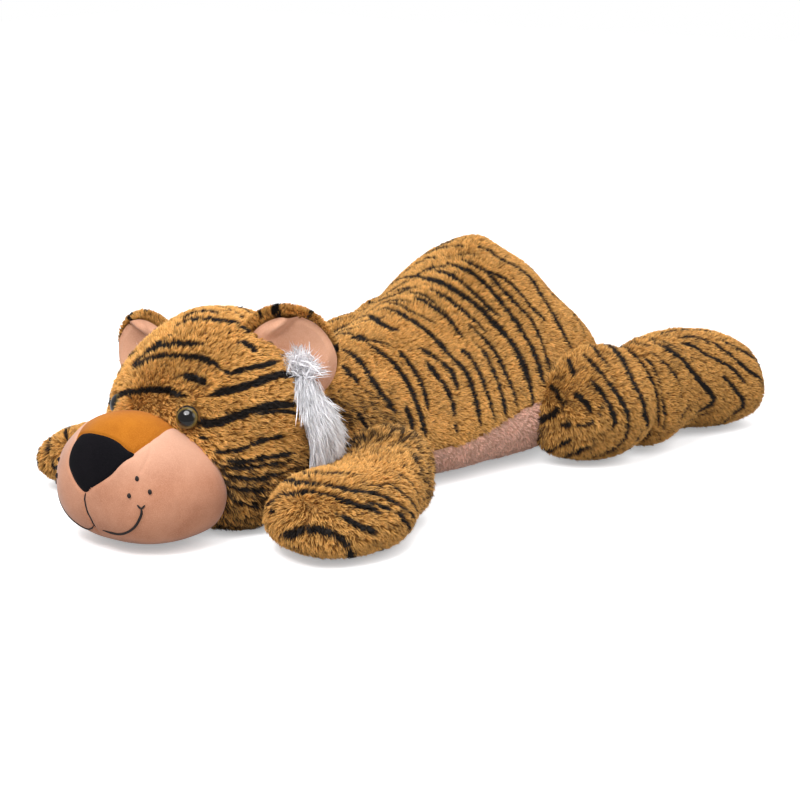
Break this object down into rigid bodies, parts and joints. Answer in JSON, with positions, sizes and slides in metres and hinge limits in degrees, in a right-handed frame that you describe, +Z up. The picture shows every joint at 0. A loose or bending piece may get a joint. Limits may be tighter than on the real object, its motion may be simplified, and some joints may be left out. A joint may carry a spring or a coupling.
{
  "type": "plush tiger",
  "caption": "Large stuffed tiger lying flat on its belly with its chin on the floor, limbs stretched out, for lying on and cuddling.",
  "frame": {"origin": "On the floor under the belly, at the middle of the flat patch that the toy rests on", "axes": "-Y towards the nose, +Y towards the tail, +X towards the toy's own left side, +Z up"},
  "size_m": [0.5754, 1.0286, 0.2693],
  "materials": {
    "striped_plush": "long pile, golden tan with black tiger stripes",
    "belly_plush": "short pile, dusty peach",
    "peach_velboa": "velvety short pile, pale peach",
    "orange_velboa": "velvety short pile, orange",
    "black_velboa": "velvety short pile, black",
    "white_pile": "long shaggy pile, white",
    "polyester_fill": "loose fibre filling, hidden",
    "amber_lens": "clear amber, glossy",
    "black_eye_plastic": "glossy black",
    "washer_plastic": "moulded natural plastic, hidden"
  },
  "bodies": {
    "body": {"body_cover": "striped_plush", "belly_panel": "belly_plush", "body_stuffing": "polyester_fill"},
    "head": {"head_cover": "striped_plush", "head_stuffing": "polyester_fill", "muzzle_cover": "peach_velboa", "muzzle_stuffing": "polyester_fill", "nose_bridge": "orange_velboa", "nose": "black_velboa", "left_eye_lens": "amber_lens", "left_eye_plate": "black_eye_plastic", "left_eye_washer": "washer_plastic", "right_eye_lens": "amber_lens", "right_eye_plate": "black_eye_plastic", "right_eye_washer": "washer_plastic", "left_ear_cover": "striped_plush", "left_ear_lining": "peach_velboa", "right_ear_cover": "striped_plush", "right_ear_lining": "peach_velboa", "left_cheek_tuft": "white_pile", "right_cheek_tuft": "white_pile"},
    "left_arm": {"left_arm_cover": "striped_plush", "left_arm_stuffing": "polyester_fill"},
    "right_arm": {"right_arm_cover": "striped_plush", "right_arm_stuffing": "polyester_fill"},
    "left_leg": {"left_leg_cover": "striped_plush", "left_leg_stuffing": "polyester_fill"},
    "right_leg": {"right_leg_cover": "striped_plush", "right_leg_stuffing": "polyester_fill"},
    "tail": {"tail_cover": "striped_plush", "tail_stuffing": "polyester_fill"}
  },
  "joints": [
    {"name": "head_nod", "type": "hinge", "parent": "body", "child": "head", "pos_m": [0, -0.29, 0.128], "axis": [-1, 0, 0], "range_deg": [0, 20], "stiffness_Nm_per_rad": 0.5},
    {"name": "left_arm_swing", "type": "hinge", "parent": "body", "child": "left_arm", "pos_m": [0.152, -0.158, 0.051], "axis": [0, 0, 1], "range_deg": [0, 30], "stiffness_Nm_per_rad": 0.3},
    {"name": "right_arm_swing", "type": "hinge", "parent": "body", "child": "right_arm", "pos_m": [-0.152, -0.158, 0.051], "axis": [0, 0, -1], "range_deg": [0, 30], "stiffness_Nm_per_rad": 0.3},
    {"name": "left_leg_swing", "type": "hinge", "parent": "body", "child": "left_leg", "pos_m": [0.226, 0.176, 0.072], "axis": [0, 0, -1], "range_deg": [0, 30], "stiffness_Nm_per_rad": 0.3},
    {"name": "right_leg_swing", "type": "hinge", "parent": "body", "child": "right_leg", "pos_m": [-0.15, 0.176, 0.072], "axis": [0, 0, 1], "range_deg": [0, 30], "stiffness_Nm_per_rad": 0.3},
    {"name": "tail_swing", "type": "hinge", "parent": "body", "child": "tail", "pos_m": [0.038, 0.322, 0.062], "axis": [0, 0, 1], "range_deg": [-20, 20], "stiffness_Nm_per_rad": 0.1}
  ]
}
